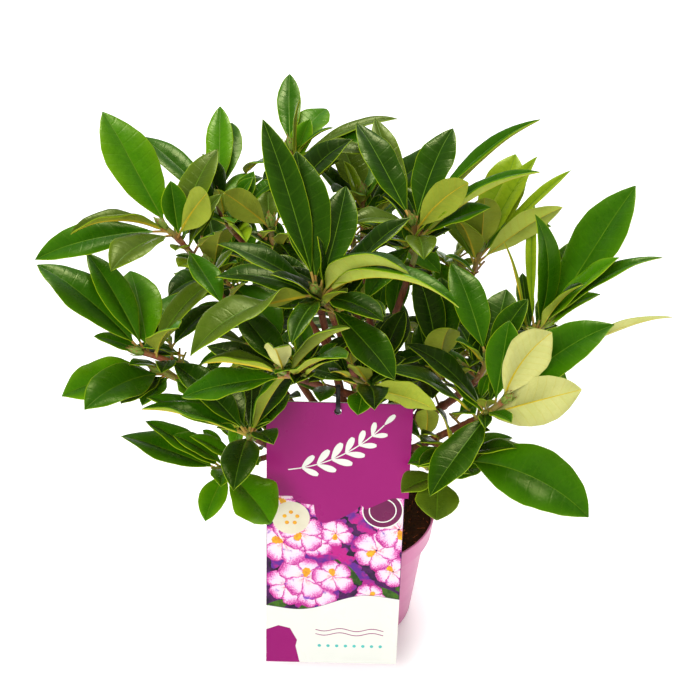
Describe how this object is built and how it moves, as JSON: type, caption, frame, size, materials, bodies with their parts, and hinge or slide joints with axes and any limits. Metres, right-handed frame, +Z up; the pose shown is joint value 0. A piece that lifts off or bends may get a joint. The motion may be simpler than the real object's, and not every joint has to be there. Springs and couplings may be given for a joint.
{
  "type": "potted rhododendron",
  "caption": "Young rhododendron with whorls of glossy oblong leaves on branching woody stems, in a tapered nursery pot, with a printed label hung at the front.",
  "frame": {"origin": "centre of the pot's flat underside, on the surface that it stands on", "axes": "+Z up, -Y the front, where the label hangs, +X to the right as seen from the front"},
  "size_m": [0.5402, 0.4209, 0.564],
  "materials": {
    "pot_plastic": "satin",
    "peat": "matte",
    "bark": "matte",
    "foliage": "satin",
    "label_print": "gloss",
    "label_purple": "gloss",
    "label_strap": "satin"
  },
  "bodies": {
    "root": {"pot": "pot_plastic", "peat": "peat", "trunk": "bark", "bough_left": "bark", "bough_upper_left": "bark", "bough_left_low": "bark", "bough_lower_left": "bark", "bough_lower_left_under": "bark", "bough_front": "bark", "bough_front_low": "bark", "bough_front_centre": "bark", "bough_top": "bark", "bough_back_upper_left": "bark", "bough_inner_left": "bark", "bough_centre_right": "bark", "bough_top_right_back": "bark", "bough_right": "bark", "bough_back_upper_right": "bark", "bough_centre_right_low": "bark", "bough_centre_low": "bark", "bough_right_front": "bark", "bough_right_low": "bark", "bough_pot_side": "bark", "bough_back": "bark", "bough_back_left": "bark", "bough_back_right": "bark", "bough_back_low_left": "bark", "bough_back_low": "bark", "bough_back_low_right": "bark", "leaves_left": "foliage", "leaves_upper_left": "foliage", "leaves_left_low": "foliage", "leaves_lower_left": "foliage", "leaves_lower_left_under": "foliage", "leaves_front": "foliage", "leaves_front_low": "foliage", "leaves_front_centre": "foliage", "leaves_top": "foliage", "leaves_back_upper_left": "foliage", "leaves_inner_left": "foliage", "leaves_centre_right": "foliage", "leaves_top_right_back": "foliage", "leaves_right": "foliage", "leaves_back_upper_right": "foliage", "leaves_centre_right_low": "foliage", "leaves_centre_low": "foliage", "leaves_right_front": "foliage", "leaves_right_low": "foliage", "leaves_pot_side": "foliage", "leaves_back": "foliage", "leaves_back_left": "foliage", "leaves_back_right": "foliage", "leaves_back_low_left": "foliage", "leaves_back_low": "foliage", "leaves_back_low_right": "foliage", "label_card": "label_print", "label_flap": "label_purple", "label_loop": "label_strap"}
  },
  "joints": []
}
